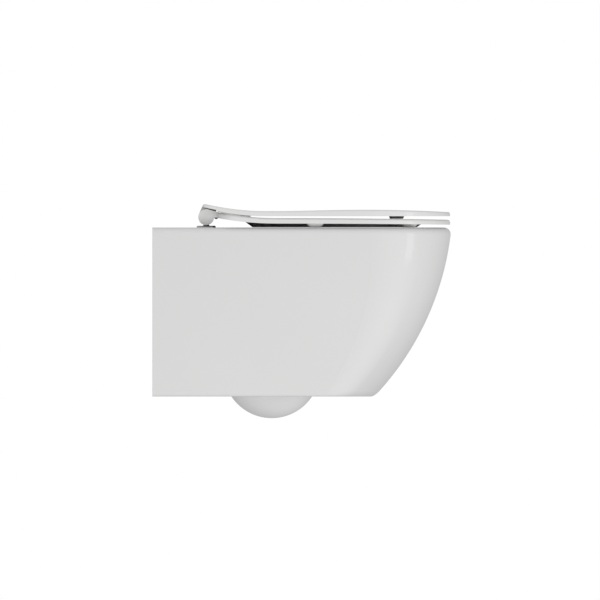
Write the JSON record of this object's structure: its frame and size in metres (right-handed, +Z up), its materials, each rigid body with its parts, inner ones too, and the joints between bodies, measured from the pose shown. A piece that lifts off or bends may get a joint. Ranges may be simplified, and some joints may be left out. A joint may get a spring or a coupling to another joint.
{
  "type": "wall hung toilet",
  "caption": "Wall hung toilet: rimmed ceramic bowl with an open back for its wall brackets, and a soft-close seat and lid that lift off together.",
  "frame": {"origin": "on the wall plane, midway between the two fixing studs", "axes": "+Z up, +Y out of the back of the bowl into the wall, +X to the right as seen from behind the bowl facing away from the wall"},
  "size_m": [0.3594, 0.5348, 0.3839],
  "materials": {
    "ceramic": "glossy glaze",
    "seat_plastic": "glossy",
    "chrome": "polished",
    "bracket_steel": "zinc plated",
    "zinc_steel": "zinc plated",
    "spring_steel": "bright wire",
    "nylon": "matte",
    "grey_plastic": "satin",
    "buffer_rubber": "matte",
    "dark_rubber": "matte"
  },
  "bodies": {
    "bowl": {"ceramic_skirt": "ceramic", "ceramic_basin": "ceramic", "ceramic_inlet": "ceramic", "ceramic_trapway": "ceramic", "wall_bracket_left": "bracket_steel", "wall_bracket_right": "bracket_steel", "stud_washer_left": "zinc_steel", "stud_washer_right": "zinc_steel", "stud_nut_left": "zinc_steel", "stud_nut_right": "zinc_steel", "hinge_bush_left": "nylon", "hinge_bush_right": "nylon", "rosette_left": "chrome", "rosette_right": "chrome", "hinge_post_left": "chrome", "hinge_post_right": "chrome"},
    "seat_mount": {"hinge_housing_left": "seat_plastic", "hinge_housing_right": "seat_plastic", "latch_clip_left": "spring_steel", "latch_clip_right": "spring_steel", "seat_damper_rotor": "nylon", "seat_pin": "zinc_steel", "lid_damper_rotor": "nylon", "lid_pin": "zinc_steel"},
    "release_left": {"release_button_left": "grey_plastic"},
    "release_right": {"release_button_right": "grey_plastic"},
    "seat": {"seat_ring": "seat_plastic", "seat_damper_body": "nylon", "seat_bush": "nylon", "seat_buffer_middle_left": "buffer_rubber", "seat_buffer_middle_right": "buffer_rubber", "seat_buffer_front_left": "buffer_rubber", "seat_buffer_front_right": "buffer_rubber", "heel_pad_left": "dark_rubber", "heel_pad_right": "dark_rubber"},
    "lid": {"lid": "seat_plastic", "lid_damper_body": "nylon", "lid_bush": "nylon", "lid_buffer_left": "buffer_rubber", "lid_buffer_right": "buffer_rubber"}
  },
  "joints": [
    {"name": "seat_lift", "type": "slide", "parent": "bowl", "child": "seat_mount", "axis": [0, 0, 1], "range_m": [0, 0.02], "deforming": ["latch_clip_left", "latch_clip_right"]},
    {"name": "seat_hinge", "type": "hinge", "parent": "seat_mount", "child": "seat", "pos_m": [0, -0.0965, 0.0977], "axis": [-1, 0, 0], "range_deg": [0, 98]},
    {"name": "lid_hinge", "type": "hinge", "parent": "seat", "child": "lid", "pos_m": [0, -0.0965, 0.0977], "axis": [1, 0, 0], "range_deg": [-100, 0]},
    {"name": "release_left", "type": "slide", "parent": "seat_mount", "child": "release_left", "axis": [0, -1, 0], "range_m": [0, 0.002], "stiffness_N_per_m": 1500, "springref_m": -0.002, "deforming": ["latch_clip_left"]},
    {"name": "release_right", "type": "slide", "parent": "seat_mount", "child": "release_right", "axis": [0, -1, 0], "range_m": [0, 0.002], "stiffness_N_per_m": 1500, "springref_m": -0.002, "deforming": ["latch_clip_right"]}
  ]
}
